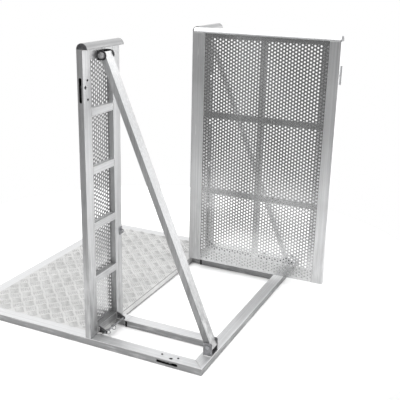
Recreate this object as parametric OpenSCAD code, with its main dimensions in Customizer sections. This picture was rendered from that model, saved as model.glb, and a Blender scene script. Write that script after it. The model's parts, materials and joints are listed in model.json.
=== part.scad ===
// Folding stage barrier with a gate: a floor frame with a tread plate in front, two narrow
// braced side panels and a perforated gate leaf between them, drawn with the gate open.
// X runs along the barrier, -Y is the front (tread plate) side, Z is up, millimetres.
// The origin is under the cross rail, on the floor, in the front plane of the panels.

/* [Overall] */
// Width over the side rails
overall_w = 1200; // [1100:10:1400]
// Height to the top of the caps
overall_h = 1200; // [1000:10:1400]
// Depth of the base in front of the panels
front_d = 632; // [450:2:800]
// Depth of the base behind the panels
rear_d = 518; // [400:2:700]

/* [Base frame] */
// Width of a base rail
rail_w = 50; // [40:1:70]
// Height of a base rail
rail_h = 30; // [26:1:45]
// Wall of a base rail
rail_wall = 3; // [2:0.5:4]
// Thickness of the tread plate
plate_t = 4; // [3:0.5:6]
// Number of bearers under the tread plate
bearer_n = 3; // [1:1:5]
// Width of a bearer
bearer_w = 40; // [20:1:60]
// Distance of a bearer above the floor
bearer_lift = 4; // [0:1:10]
// Height of the folded rear edge of the tread plate
plate_fold = 22; // [12:1:24]
// Distance of the cross rail's front edge ahead of the panels
cross_front = 22; // [20:1:28]
// Width of the cross rail under the tread plate
cross_w = 38; // [34:1:50]
// Front end of the inner rails behind the panels
inner_rail_y = 74; // [60:1:110]
// Thickness of the plastic collar at an inner rail's front end
collar_t = 8; // [4:1:14]
// Length of a spigot inside its inner rail
spigot_in = 40; // [20:1:80]

/* [Panels] */
// Width of a side panel
panel_w = 250; // [220:5:300]
// Width of a stile
stile_w = 50; // [45:1:60]
// Depth of a stile
stile_d = 25; // [22:1:35]
// Wall of the panel tubes
tube_wall = 2; // [1.5:0.5:3]
// Gap between the panel feet and the base
foot_gap = 1; // [0.5:0.5:3]
// Height of the foot rail of a side panel
foot_rail_h = 30; // [26:1:50]
// Height of the top rail under the cap
top_rail_h = 40; // [30:2:60]
// Height of a rib
rib_h = 30; // [20:1:40]
// Number of ribs in a side panel
panel_rib_n = 4; // [2:1:6]
// Distance of the rib pattern's upper end below the top
rib_top_drop = 30; // [20:1:60]
// Thickness of the perforated sheet
sheet_t = 2; // [1:0.5:3]
// Depth of the sheet behind the front of the stiles
sheet_recess = 2; // [0.5:0.5:6]
// Width of the half-round cap
cap_w = 45; // [36:1:60]
// Wall of the cap
cap_wall = 2.5; // [2:0.5:4]
// Thickness of an end plug's flange
plug_t = 3; // [2:0.5:6]
// Length of an end plug inside its tube
plug_in = 12; // [6:1:20]

/* [Perforation] */
// Diameter of a hole in the sheets
hole_d = 25; // [20:1:32]
// Pitch of the triangular hole pattern
hole_pitch = 40; // [36:1:60]
// Plain edge around the holes
hole_edge = 15; // [8:1:30]

/* [Gate] */
// Angle of the leaf from shut
gate_open = 90; // [0:1:100]
// Height of the leaf's bottom above the floor
gate_lift = 57; // [36:1:90]
// Gap at the hinge side
hinge_gap = 3; // [2:0.5:6]
// Gap at the free side
free_gap = 4; // [4:0.5:8]
// Height of the leaf's bottom rail
gate_rail_h = 60; // [40:2:90]
// Height of the leaf's top rail
gate_top_h = 20; // [16:1:60]
// Width of the leaf's stile at the hinges
hinge_stile_w = 60; // [50:1:70]
// Distance of the hinge axis from the leaf's hinge edge
hinge_in = 14.5; // [12:0.5:20]
// Distance of the hinge axis behind the leaf
hinge_back = 23.5; // [18:0.5:30]
// Radius of a hinge barrel
barrel_r = 10; // [8:0.5:12]
// Height of one hinge barrel
barrel_h = 35; // [25:1:50]
// Radius of a hinge pin
hinge_pin_r = 6; // [4:0.5:7]
// Number of hinges
hinge_n = 3; // [2:1:4]
// Height of the lowest hinge above the leaf's bottom
hinge_low = 70; // [50:5:200]
// Distance of the highest hinge below the top
hinge_drop = 100; // [80:5:200]
// Number of cross ribs in the leaf
gate_rib_n = 2; // [1:1:4]
// Width of the centre rib
centre_rib_w = 30; // [20:1:40]
// Width of the backing strips beside the stiles
strip_w = 30; // [15:1:40]
// Height of the latch below the top
latch_drop = 167; // [120:1:260]
// Radius of the latch bolt
latch_r = 6; // [4:0.5:8]
// Travel of the latch bolt
latch_travel = 18; // [14:1:20]
// Overhang of the stop plate past the leaf
stop_over = 6; // [5.5:0.5:14]
// Height of the stop plate
stop_h = 81; // [60:1:120]
// Height of the staple on the stile beside the free edge
staple_z = 402; // [200:1:800]

/* [Braces] */
// Width of a brace tube
brace_w = 50; // [40:1:60]
// Depth of a brace tube
brace_d = 25; // [22:1:32]
// Distance of the top pivot behind the panel
pivot_back = 20; // [19:0.5:30]
// Distance of the top pivot below the top
pivot_drop = 50; // [44:1:80]
// Height of the lug pin above the base
lug_pin_up = 38; // [34:1:60]
// Distance of the lug pin ahead of the base's rear edge
lug_pin_in = 20; // [19:0.5:28]
// Radius of the pivot bolt and the lug pin
pivot_r = 6; // [4:0.5:6]
// Thickness of the lug and bracket plates
ear_t = 4; // [3:0.5:6]
// Length of a brace past its top pivot
brace_top_end = 10; // [9:0.5:12]
// Length of a brace past its lug pin
brace_low_end = 16; // [12:0.5:18]
// Turn of a brace for each degree of panel fold
brace_ratio = 0.2; // [0.1:0.01:0.22]

/* [Fold hinge] */
// Distance of the fold axis ahead of the panels
fold_ahead = 10; // [9:0.5:14]
// Height of the fold axis above the base
fold_up = 11; // [10:0.5:15]
// Radius of a fold bolt
fold_r = 5; // [4:0.5:6]
// Width of a fold tab
tab_w = 15; // [10:1:20]
// Distance between the two fold tabs of a panel
tab_pitch = 100; // [80:1:120]

/* [Foot gussets] */
// Distance of the outer gusset from the panel's outer side
gusset_out = 62; // [56:1:80]
// Distance of the inner gusset from the panel's inner side
gusset_in = 44; // [30:1:48]
// Height of a gusset
gusset_h = 29; // [26:1:45]
// Reach of the toe rod behind the panel
toe_y = 31; // [26:1:45]
// Height of the toe rod above the panel's foot
toe_z = 7; // [6:0.5:10]
// Radius of the toe rod
toe_r = 3.5; // [2.5:0.5:4.5]
// Radius of a pull ring
ring_r = 11; // [8:1:14]

/* [Linking locks] */
// Distance of the upper hook's axis below the top
lock_drop = 158; // [130:1:220]
// Distance of the base hook's axis behind the panels
lock_y = 381; // [250:1:400]
// Distance of the hook axis from the outer face
lock_in = 15; // [13:0.5:18]
// Distance of the lock bolts from the outer face
bolt_in = 28; // [26:0.5:32]
// Height of the bolt that a hook catches above the hook axis
bolt_up = 25; // [22:0.5:28]
// Distance of the other bolt below the hook axis
bolt_low = 45; // [40:0.5:48]
// Radius of a lock bolt
bolt_r = 2.5; // [2:0.5:3]
// Thickness of a hook
hook_t = 8; // [6:0.5:9]
// Width of a hook's arm
hook_w = 14; // [12:0.5:16]
// Width of the lock slot
slot_w = 12; // [10:0.5:14]

/* [Hidden] */
$fn = 64;
running = 0.05;
seat = 0.3;
side_gap = 0.8;
half_w = overall_w / 2;
rail_top = rail_h;
panel_z = rail_top + foot_gap;
cap_r = cap_w / 2;
cap_z = overall_h - cap_r;
sheet_y = sheet_recess;
rib_y = sheet_recess + sheet_t;
rib_d = stile_d - rib_y;
bay_w = panel_w - 2 * stile_w;
panel_in = half_w - panel_w;
panel_mid = half_w - panel_w / 2;
cross_back = cross_w - cross_front;
plate_back = cross_back + plate_t;
column = hole_pitch * sqrt(3) / 2;
// fold axis, brace top pivot and lug pin in the side view, as [Y, Z]
fold_axis = [-fold_ahead, rail_top + fold_up];
brace_top = [stile_d + pivot_back, overall_h - pivot_drop];
lug_pin = [rear_d - lug_pin_in, rail_top + lug_pin_up];
brace_len = norm(lug_pin - brace_top);
brace_tilt = atan2(lug_pin[0] - brace_top[0], brace_top[1] - lug_pin[1]);
// first movement of the brace's lower end when the panel folds, which sets the slot's slant
turn = 1 - brace_ratio;
lift_off = [turn * (brace_top[1] - lug_pin[1]) - (brace_top[1] - fold_axis[1]),
            turn * (lug_pin[0] - brace_top[0]) + (brace_top[0] - fold_axis[0])];
slot_slant = atan2(-lift_off[0], lift_off[1]) - brace_tilt;
slot_flare = 1.5;
lug_out = brace_w / 2 + side_gap + ear_t;
ear_r = 18;
bracket_web = 2.5;
bracket_r = 18;
ear_clear = 1;
clevis_base = 3;
tab_clear = 4;
tab_x = [panel_mid - tab_pitch / 2, panel_mid + tab_pitch / 2];
clevis_out = tab_w / 2 + seat + ear_t;
// gate leaf when shut
leaf_x0 = -panel_in + hinge_gap;
leaf_x1 = panel_in - free_gap;
leaf_w = leaf_x1 - leaf_x0;
gate_axis = [leaf_x0 + hinge_in, stile_d + hinge_back];
hinge_z0 = gate_lift + hinge_low - barrel_h;
hinge_step = (overall_h - hinge_drop - barrel_h - hinge_z0) / (hinge_n - 1);
strap_t = 4;
strap_w = 38;
strap_in = 7;
pin_rise = 4;
latch_z = overall_h - latch_drop;
latch_y = stile_d / 2;
knob_in = 8;
latch_tail = stile_w + latch_travel + 2 * knob_in;
gate_bay_x = leaf_x0 + hinge_stile_w;
gate_bay_w = leaf_w - hinge_stile_w - stile_w;
// feet of the ribs, and the foot and top of each bay between them
gate_rib_step = (cap_z - gate_lift) / (gate_rib_n + 1);
gate_rib_z = [for (i = [1 : gate_rib_n]) gate_lift + i * gate_rib_step - rib_h / 2];
gate_bay_low = concat([gate_lift + gate_rail_h], [for (z = gate_rib_z) z + rib_h]);
gate_bay_top = concat(gate_rib_z, [cap_z - gate_top_h]);
panel_rib_z0 = panel_z + foot_rail_h / 2;
panel_rib_step = (overall_h - rib_top_drop - panel_rib_z0) / (panel_rib_n + 1);
panel_rib_z = [for (i = [1 : panel_rib_n]) panel_rib_z0 + i * panel_rib_step - rib_h / 2];
// hook that reaches the neighbour's upper bolt
catch_r = norm([lock_in + bolt_in, bolt_up]);
hook_tip = 6.3;
hook_len = catch_r + hook_tip;
hook_hub_r = 9;
axle_r = 6;
key_r = 7;
socket_r = 4;
notch_r = bolt_r + 0.8;
slot_low = hook_len + 0.5;
slot_high = 35.5;
case_low = slot_low + 4;
case_high = slot_high + 4;
case_back = 4.5;
upper_lock_z = overall_h - lock_drop;
gusset_x0 = panel_in + gusset_in;
gusset_x1 = half_w - gusset_out;
gusset_z = panel_z + gusset_h;
toe = [stile_d + toe_y, panel_z + toe_z];
toe_boss = toe_r + 3.5;
gusset_t = 4;
ring_wire = 1.6;
alu = "#c8cbce";
alu_light = "#dcdfe1";
steel = "#8d9196";
black = "#1b1b1c";

// Right-hand pieces are drawn at +X, left-hand ones are their mirror image.
module left() { mirror([1, 0, 0]) children(); }
module both() { children(); left() children(); }

// Outline in the side view (Y, Z), carried along X from -w/2 to w/2.
module across(w) { rotate([90, 0, 90]) linear_extrude(w, center = true) children(); }

// Round bar or bore along X, centred at the side view point p.
module bar_x(x, p, r, l) {
    translate([x, p[0], p[1]]) rotate([0, 90, 0]) cylinder(r = r, h = l, center = true);
}

// Rectangular tube of outer size s, open along the given axis.
module box_tube(s, wall, axis) {
    difference() {
        cube(s);
        translate([for (i = [0 : 2]) i == axis ? -1 : wall])
            cube([for (i = [0 : 2]) i == axis ? s[i] + 2 : s[i] - 2 * wall]);
    }
}

// Base rail along Y with both ends mitred, its outer side at +X.
module mitred_rail(l) {
    difference() {
        linear_extrude(rail_h)
            polygon([[0, rail_w], [rail_w, 0], [rail_w, l], [0, l - rail_w]]);
        translate([rail_wall, -1, rail_wall])
            cube([rail_w - 2 * rail_wall, l + 2, rail_h - 2 * rail_wall]);
    }
}

// Lock places: local x points out of the barrier, local y runs along the slot.
module at_upper_lock() {
    translate([half_w - lock_in, stile_d / 2, upper_lock_z]) rotate([90, 0, 0]) children();
}
module at_base_lock() { translate([half_w - lock_in, lock_y, rail_h / 2]) children(); }
module at_bolts() { for (y = [bolt_up, -bolt_low]) translate([lock_in - bolt_in, y, 0]) children(); }

// Slot and bolt holes that a lock needs in its tube, t deep, with the bolt heads on side k (1 or -1).
module lock_cuts(t, wall, k) {
    translate([lock_in - wall / 2, 0, 0]) rotate([0, 90, 0]) linear_extrude(2 * wall, center = true) {
        translate([-slot_w / 2, slot_w / 2 - slot_low]) square([slot_w, slot_low + slot_high - slot_w]);
        for (y = [slot_high - slot_w / 2, slot_w / 2 - slot_low]) translate([0, y]) circle(d = slot_w);
    }
    at_bolts() translate([0, 0, k * t / 2]) cylinder(r = bolt_r + 2 * running, h = 4 * wall, center = true);
}
// Hole over the hook's hub for the key
module keyhole(t, wall, k) { translate([0, 0, k * t / 2]) cylinder(r = key_r, h = 4 * wall, center = true); }

// Case that fills a tube w wide and t deep, open towards the slot, with its two bolts.
module lock_case(w, t, wall, k) {
    x0 = lock_in - w + wall + seat;
    x1 = lock_in - wall - seat;
    h = t - 2 * wall - 2 * seat;
    difference() {
        translate([x0, -case_low, -h / 2]) cube([x1 - x0, case_low + case_high, h]);
        translate([x0 + case_back, -slot_low - 1, -hook_t / 2 - side_gap])
            cube([w, slot_low + slot_high + 2, hook_t + 2 * side_gap]);
        at_bolts() cylinder(r = bolt_r + running, h = t, center = true);
    }
    at_bolts() mirror([0, 0, k < 0 ? 1 : 0]) {
        translate([0, 0, -h / 2]) cylinder(r = bolt_r, h = h / 2 + t / 2 + seat + 1);
        translate([0, 0, t / 2 + seat]) cylinder(r = bolt_r + 1.5, h = 1.3);
    }
}
module axle_bore(t) { cylinder(r = axle_r + running, h = t, center = true); }

// Hook with its axle, stowed along -y, and a notch for the neighbour's bolt.
module lock_hook(t, wall) {
    difference() {
        union() {
            linear_extrude(hook_t, center = true) difference() {
                union() {
                    circle(r = hook_hub_r);
                    translate([-hook_w / 2, -hook_len + hook_w / 2]) square([hook_w, hook_len - hook_w / 2]);
                    translate([0, -hook_len + hook_w / 2]) circle(d = hook_w);
                }
                translate([0, -catch_r]) circle(r = notch_r);
                translate([0, -catch_r - notch_r]) square([hook_w, 2 * notch_r]);
            }
            cylinder(r = axle_r, h = t - 2 * wall - 2 * seat, center = true);
        }
        cylinder(r = socket_r, h = t, center = true, $fn = 6);
    }
}

// Base frame
module side_rail() {
    difference() {
        translate([half_w - rail_w, -front_d, 0]) mitred_rail(front_d + rear_d);
        at_base_lock() lock_cuts(rail_h, rail_wall, 1);
    }
}
module side_rail_right() {
    color(alu) difference() {
        side_rail();
        at_base_lock() keyhole(rail_h, rail_wall, 1);
    }
}
module side_rail_left() { color(alu) left() side_rail(); }
module front_rail() {
    color(alu) translate([-half_w, rail_w - front_d, 0]) rotate([0, 0, -90]) mitred_rail(overall_w);
}
module rear_rail() {
    color(alu) translate([half_w, rear_d - rail_w, 0]) rotate([0, 0, 90]) mitred_rail(overall_w);
}
module cross_rail() {
    color(alu) translate([rail_w - half_w, -cross_front, 0])
        box_tube([overall_w - 2 * rail_w, cross_w, rail_top - plate_t], rail_wall, 0);
}
module inner_rail() {
    translate([panel_in, inner_rail_y, 0])
        box_tube([rail_w, rear_d - rail_w - inner_rail_y, rail_h], rail_wall, 1);
}
module inner_rail_right() { color(alu) inner_rail(); }
module inner_rail_left() { color(alu) left() inner_rail(); }
// Narrower tube behind the cross rail that an inner rail is pushed over, with a cover level with the rail
module rail_spigots() {
    play = rail_wall + seat;
    color(alu_light) both() translate([panel_in, plate_back, 0]) {
        translate([play, 0, play])
            box_tube([rail_w - 2 * play, inner_rail_y + spigot_in - plate_back, rail_h - 2 * play],
                     rail_wall, 1);
        translate([0, 0, rail_h - play]) cube([rail_w, inner_rail_y - plate_back, play]);
    }
}
// Open collar under the cover, on both sides of the spigot and below it
module rail_collars() {
    color(black) both() translate([panel_in, inner_rail_y - collar_t, 0]) difference() {
        cube([rail_w, collar_t, rail_h - rail_wall - seat]);
        translate([rail_wall, -1, rail_wall]) cube([rail_w - 2 * rail_wall, collar_t + 2, rail_h]);
    }
}
// Plate that covers the cross rail and is folded down behind it
module tread_plate() {
    w = overall_w - 2 * rail_w;
    color(alu_light) translate([rail_w - half_w, 0, rail_top]) {
        translate([0, rail_w - front_d, -plate_t]) cube([w, front_d - rail_w + plate_back, plate_t]);
        translate([0, cross_back, -plate_fold]) cube([w, plate_t, plate_fold]);
    }
}
module plate_bearers() {
    l = front_d - rail_w - cross_front;
    step = (overall_w - 2 * rail_w) / (bearer_n + 1);
    color(alu) for (i = [1 : bearer_n])
        translate([rail_w - half_w + i * step - bearer_w / 2, rail_w - front_d, bearer_lift])
            box_tube([bearer_w, l, rail_top - plate_t - bearer_lift], tube_wall, 1);
}

// U-shaped lug on the rear rail, with an upright ear on each side of the brace
module lug_ear() {
    corner = 5;
    difference() {
        translate([lug_pin[0] - ear_r, rail_top]) square([2 * ear_r, lug_pin_up + ear_r]);
        for (s = [-1, 1]) translate(lug_pin + [s * ear_r, ear_r]) rotate(45)
            square(corner * sqrt(2), center = true);
    }
}
module brace_lugs() {
    color(alu) both() translate([panel_mid, 0, 0]) difference() {
        union() {
            translate([-lug_out, lug_pin[0] - ear_r, rail_top]) cube([2 * lug_out, 2 * ear_r, ear_t]);
            for (s = [-1, 1]) translate([s * (lug_out - ear_t / 2), 0, 0]) across(ear_t) lug_ear();
        }
        bar_x(0, lug_pin, pivot_r + running, 4 * lug_out);
    }
}
module lug_pins() {
    head_t = 3;
    color(steel) both() translate([panel_mid, 0, 0]) {
        bar_x(0, lug_pin, pivot_r, 2 * lug_out + head_t);
        for (s = [-1, 1]) bar_x(s * (lug_out + seat + head_t / 2), lug_pin, 1.3 * pivot_r, head_t);
    }
}
// Bolt along X with a washer and a hex nut on the outer side and a round head on the inner side
module cross_bolt(p, grip) {
    head_t = pivot_r;
    washer_t = 2.5;
    nut_x = grip + seat + washer_t;
    bar_x((nut_x - grip) / 2, p, pivot_r, nut_x + grip + head_t);
    bar_x(grip + seat + washer_t / 2, p, 2 * pivot_r, washer_t);
    bar_x(-grip - seat - head_t / 2, p, 1.5 * pivot_r, head_t);
    translate([nut_x, p[0], p[1]]) rotate([0, 90, 0])
        cylinder(r = 1.73 * pivot_r, h = 1.6 * pivot_r, $fn = 6);
}

// Fold hinge: clevises on the tread plate over the cross rail, tabs on the foot rail of each panel
module fold_clevises() {
    r = fold_ahead - ear_clear;
    color(steel) both() for (x = tab_x) translate([x, 0, 0]) difference() {
        union() {
            translate([-clevis_out, fold_axis[0] - r, rail_top]) cube([2 * clevis_out, 2 * r, clevis_base]);
            for (s = [-1, 1]) translate([s * (clevis_out - ear_t / 2), 0, 0]) across(ear_t) {
                translate([fold_axis[0] - r, rail_top]) square([2 * r, fold_up]);
                translate(fold_axis) circle(r = r);
            }
        }
        bar_x(0, fold_axis, fold_r + running, 4 * clevis_out);
    }
}
module fold_bolts() {
    head_t = 3;
    color(steel) both() for (x = tab_x) translate([x, 0, 0]) {
        bar_x(0, fold_axis, fold_r, 2 * clevis_out + head_t);
        for (s = [-1, 1]) bar_x(s * (clevis_out + seat + head_t / 2), fold_axis, 1.5 * fold_r, head_t);
    }
}
module fold_tabs() {
    r = fold_up - tab_clear;
    for (x = tab_x) translate([x, 0, 0]) difference() {
        across(tab_w) {
            translate(fold_axis) circle(r = r);
            polygon([fold_axis + [0, -r], [0, fold_axis[1] - r],
                     [0, fold_axis[1] + 2.5 * r], fold_axis + [-r, 0]]);
        }
        bar_x(0, fold_axis, fold_r + running, 2 * tab_w);
    }
}
module fold_tabs_right() { color(alu) fold_tabs(); }
module fold_tabs_left() { color(alu) left() fold_tabs(); }

// Hooks are on the right-hand side only, and the left-hand cases take the next unit's hooks
module base_lock_case() {
    color(steel) at_base_lock() difference() {
        lock_case(rail_w, rail_h, rail_wall, 1);
        axle_bore(rail_h);
    }
}
module base_catch_case() { color(steel) left() at_base_lock() lock_case(rail_w, rail_h, rail_wall, 1); }
module base_hook() { color(steel) at_base_lock() lock_hook(rail_h, rail_wall); }

// Side panel
module outer_stile() {
    difference() {
        translate([half_w - stile_w, 0, panel_z])
            box_tube([stile_w, stile_d, cap_z - panel_z], tube_wall, 2);
        at_upper_lock() lock_cuts(stile_d, tube_wall, -1);
    }
}
module inner_stile() {
    translate([panel_in, 0, panel_z]) box_tube([stile_w, stile_d, cap_z - panel_z], tube_wall, 2);
}
module outer_stile_right() {
    color(alu) difference() {
        outer_stile();
        at_upper_lock() keyhole(stile_d, tube_wall, -1);
    }
}
module outer_stile_left() { color(alu) left() outer_stile(); }
module inner_stile_right() {
    color(alu) difference() {
        inner_stile();
        bar_x(panel_in, [latch_y, latch_z], latch_r + 1, 4 * tube_wall);
    }
}
module inner_stile_left() { color(alu) left() inner_stile(); }

// Tube across a bay from x0, w wide, its foot at z and h tall, behind the sheet
module cross_tube(x0, w, z, h) { translate([x0, rib_y, z]) box_tube([w, rib_d, h], tube_wall, 0); }
module panel_rails() {
    x0 = panel_in + stile_w;
    translate([x0, 0, panel_z]) box_tube([bay_w, stile_d, foot_rail_h], tube_wall, 0);
    cross_tube(x0, bay_w, cap_z - top_rail_h, top_rail_h);
    for (z = panel_rib_z) cross_tube(x0, bay_w, z, rib_h);
}
module panel_rails_right() { color(alu_light) panel_rails(); }
module panel_rails_left() { color(alu_light) left() panel_rails(); }

// Sheet w by h with staggered columns of round holes
module perforated(w, h) {
    nx = floor((w - 2 * hole_edge - hole_d) / column) + 1;
    ny = floor((h - 2 * hole_edge - hole_d - hole_pitch / 2) / hole_pitch) + 1;
    x0 = (w - (nx - 1) * column) / 2;
    y0 = (h - (ny - 0.5) * hole_pitch) / 2;
    difference() {
        square([w, h]);
        for (i = [0 : nx - 1], j = [0 : ny - 1])
            translate([x0 + i * column, y0 + (j + (i % 2) / 2) * hole_pitch]) circle(d = hole_d, $fn = 24);
    }
}
module upright_sheet(x0, z0, w, h) {
    translate([x0, sheet_y + sheet_t, z0]) rotate([90, 0, 0]) linear_extrude(sheet_t) perforated(w, h);
}
module panel_sheet() {
    z0 = panel_z + foot_rail_h;
    upright_sheet(panel_in + stile_w, z0, bay_w, cap_z - z0);
}
module panel_sheet_right() { color(alu) panel_sheet(); }
module panel_sheet_left() { color(alu) left() panel_sheet(); }

// Half-round cap along X, flush with the front of the stiles, and its end plugs
module half_disc(r, floor_z = 0) {
    intersection() {
        circle(r = r);
        translate([-r, floor_z]) square([2 * r, r]);
    }
}
module cap_profile() {
    difference() {
        half_disc(cap_r);
        half_disc(cap_r - cap_wall, cap_wall);
    }
}
module cap_tube(x0, x1) {
    translate([(x0 + x1) / 2, cap_r, cap_z]) across(x1 - x0 - 2 * plug_t) cap_profile();
}
module cap_ends(x0, x1) {
    for (s = [0, 1]) translate([s ? x1 : x0, cap_r, cap_z]) mirror([s, 0, 0]) {
        translate([plug_t / 2, 0, 0]) across(plug_t) half_disc(cap_r);
        translate([plug_t + plug_in / 2, 0, 0]) across(plug_in)
            half_disc(cap_r - cap_wall - seat, cap_wall + seat);
    }
}
module top_cap_right() { color(alu) cap_tube(panel_in, half_w); }
module top_cap_left() { color(alu) left() cap_tube(panel_in, half_w); }
module cap_plugs_right() { color(black) cap_ends(panel_in, half_w); }
module cap_plugs_left() { color(black) left() cap_ends(panel_in, half_w); }

// Two gussets behind the panel's foot that carry the toe rod
module foot_gusset() {
    slope = atan2(gusset_z - toe[1], toe[0] - stile_d);
    normal = [sin(slope), cos(slope)];
    difference() {
        union() {
            polygon([[stile_d, panel_z], [stile_d, gusset_z], toe + toe_boss * normal, [toe[0], panel_z]]);
            translate(toe) circle(r = toe_boss);
        }
        translate(toe) circle(r = toe_r + running);
    }
}
module foot_gussets() {
    for (x = [gusset_x0 + gusset_t / 2, gusset_x1 - gusset_t / 2])
        translate([x, 0, 0]) across(gusset_t) foot_gusset();
}
module foot_gussets_right() { color(steel) foot_gussets(); }
module foot_gussets_left() { color(steel) left() foot_gussets(); }

// Locking rod through the gussets, with two pull rings hanging on it
module toe_rod() {
    mid = (gusset_x0 + gusset_x1) / 2;
    bar_x(mid, toe, toe_r, gusset_x1 - gusset_x0 + 2 * gusset_t);
    for (x = [mid + ring_r, gusset_x1 - 1.6 * ring_r])
        translate([x, toe[0], toe[1] + toe_r + seat - ring_r + ring_wire]) rotate([0, 90, 0])
            rotate_extrude() translate([ring_r, 0]) circle(r = ring_wire, $fn = 24);
}
module toe_rod_right() { color(steel) toe_rod(); }
module toe_rod_left() { color(steel) left() toe_rod(); }

// U-shaped bracket for the brace's top pivot
module brace_bracket() {
    h = 2 * bracket_r;
    translate([panel_mid, 0, 0]) difference() {
        union() {
            translate([-lug_out, stile_d, brace_top[1] - bracket_r]) cube([2 * lug_out, bracket_web, h]);
            for (s = [-1, 1]) translate([s * (lug_out - ear_t / 2), 0, 0]) across(ear_t) {
                translate([stile_d, brace_top[1] - bracket_r]) square([pivot_back, h]);
                translate(brace_top) circle(r = bracket_r);
            }
        }
        bar_x(0, brace_top, pivot_r + running, 4 * lug_out);
    }
}
module brace_bracket_right() { color(steel) brace_bracket(); }
module brace_bracket_left() { color(steel) left() brace_bracket(); }
module pivot_bolt_right() { color(steel) translate([panel_mid, 0, 0]) cross_bolt(brace_top, lug_out); }
module pivot_bolt_left() { color(steel) left() translate([panel_mid, 0, 0]) cross_bolt(brace_top, lug_out); }

module upper_lock_case() {
    color(steel) at_upper_lock() difference() {
        lock_case(stile_w, stile_d, tube_wall, -1);
        axle_bore(stile_d);
    }
}
module upper_catch_case() {
    color(steel) left() at_upper_lock() lock_case(stile_w, stile_d, tube_wall, -1);
}
module upper_hook() { color(steel) at_upper_lock() lock_hook(stile_d, tube_wall); }

// Brace tube: round bore at the top, open slanted slot over the lug pin at the bottom
module brace() {
    l = brace_len + brace_top_end + brace_low_end;
    mouth = 2 * brace_low_end;
    slot_r = pivot_r + seat;
    translate([panel_mid, brace_top[0], brace_top[1]]) rotate([brace_tilt, 0, 0]) difference() {
        translate([-brace_w / 2, -brace_d / 2, brace_top_end - l])
            box_tube([brace_w, brace_d, l], tube_wall, 2);
        bar_x(0, [0, 0], pivot_r + running, 2 * brace_w);
        translate([0, 0, -brace_len]) rotate([slot_slant, 0, 0]) across(2 * brace_w) {
            circle(r = slot_r);
            polygon([[-slot_r, 0], [slot_r, 0],
                     [slot_r + slot_flare, -mouth], [-slot_r - slot_flare, -mouth]]);
        }
    }
}
module brace_right() { color(alu) brace(); }
module brace_left() { color(alu) left() brace(); }

// Staple on the stile beside the gate's free edge
module gate_staple() {
    plate = [18, 3, 33];
    staple_in = 2;
    eye_r = 7;
    wire = 2.5;
    color(steel) translate([panel_in + staple_in, stile_d, staple_z]) {
        cube(plate);
        translate([plate[0] / 2, plate[1] + eye_r - wire, plate[2] / 2]) rotate([0, 90, 0]) difference() {
            rotate_extrude() translate([eye_r, 0]) circle(r = wire, $fn = 24);
            translate([-2 * eye_r, -5 * eye_r + wire, -2 * eye_r]) cube(4 * eye_r);
        }
    }
}

// Lift-off hinges: the hook with its pin on the panel, the strap with its bore on the gate
module hinge_hook() {
    foot_x0 = -panel_in - strap_w - strap_in;
    foot_x1 = -panel_in - strap_in;
    arm_normal = -64;
    tangent = barrel_r * [cos(arm_normal), sin(arm_normal)];
    linear_extrude(barrel_h) {
        polygon([[foot_x0, stile_d], [foot_x1, stile_d], gate_axis + tangent, gate_axis - tangent,
                 [foot_x1 - strap_in, stile_d + 2.5 * strap_t], [foot_x0, stile_d + strap_t]]);
        translate(gate_axis) circle(r = barrel_r);
    }
    translate([gate_axis[0], gate_axis[1], 0]) cylinder(r = hinge_pin_r, h = 2 * barrel_h + pin_rise);
}
module at_hinges() {
    for (i = [0 : hinge_n - 1]) translate([0, 0, hinge_z0 + i * hinge_step]) children();
}
module gate_hinge_hooks() { color(steel) at_hinges() hinge_hook(); }

// Gate leaf, drawn shut and turned about its hinge axis
module on_gate() {
    translate([gate_axis[0], gate_axis[1], 0]) rotate([0, 0, gate_open])
        translate([-gate_axis[0], -gate_axis[1], 0]) children();
}
module gate_stile(x, w) {
    translate([x, 0, gate_lift]) box_tube([w, stile_d, cap_z - gate_lift], tube_wall, 2);
}
module gate_hinge_stile() { color(alu) on_gate() gate_stile(leaf_x0, hinge_stile_w); }
module gate_free_stile() {
    color(alu) on_gate() difference() {
        gate_stile(leaf_x1 - stile_w, stile_w);
        bar_x(leaf_x1 - stile_w / 2, [latch_y, latch_z], latch_r + running, 2 * stile_w);
    }
}
module gate_rails() {
    color(alu_light) on_gate() {
        cross_tube(gate_bay_x, gate_bay_w, gate_lift, gate_rail_h);
        cross_tube(gate_bay_x, gate_bay_w, cap_z - gate_top_h, gate_top_h);
        for (z = gate_rib_z) cross_tube(gate_bay_x, gate_bay_w, z, rib_h);
    }
}
module gate_centre_rib() {
    color(alu_light) on_gate() for (i = [0 : gate_rib_n])
        translate([(leaf_x0 + leaf_x1 - centre_rib_w) / 2, rib_y, gate_bay_low[i]])
            box_tube([centre_rib_w, rib_d, gate_bay_top[i] - gate_bay_low[i]], tube_wall, 2);
}
module gate_strips() {
    strip_t = 2;
    color(alu) on_gate() for (i = [0 : gate_rib_n], x = [gate_bay_x, gate_bay_x + gate_bay_w - strip_w])
        translate([x, rib_y, gate_bay_low[i]]) cube([strip_w, strip_t, gate_bay_top[i] - gate_bay_low[i]]);
}
module gate_sheet() {
    color(alu) on_gate() upright_sheet(gate_bay_x, gate_lift, gate_bay_w, cap_z - gate_lift);
}
module gate_top_cap() { color(alu) on_gate() cap_tube(leaf_x0, leaf_x1); }
module gate_cap_plugs() { color(black) on_gate() cap_ends(leaf_x0, leaf_x1); }
module hinge_strap() {
    difference() {
        linear_extrude(barrel_h) {
            translate([leaf_x0 + strap_in, stile_d]) square([strap_w, strap_t]);
            translate([gate_axis[0] - barrel_r, stile_d]) square([2 * barrel_r, hinge_back]);
            translate(gate_axis) circle(r = barrel_r);
        }
        translate([gate_axis[0], gate_axis[1], -1]) cylinder(r = hinge_pin_r + running, h = barrel_h + 2);
    }
}
module gate_hinge_straps() {
    color(steel) on_gate() at_hinges() translate([0, 0, barrel_h + seat]) hinge_strap();
}
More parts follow.
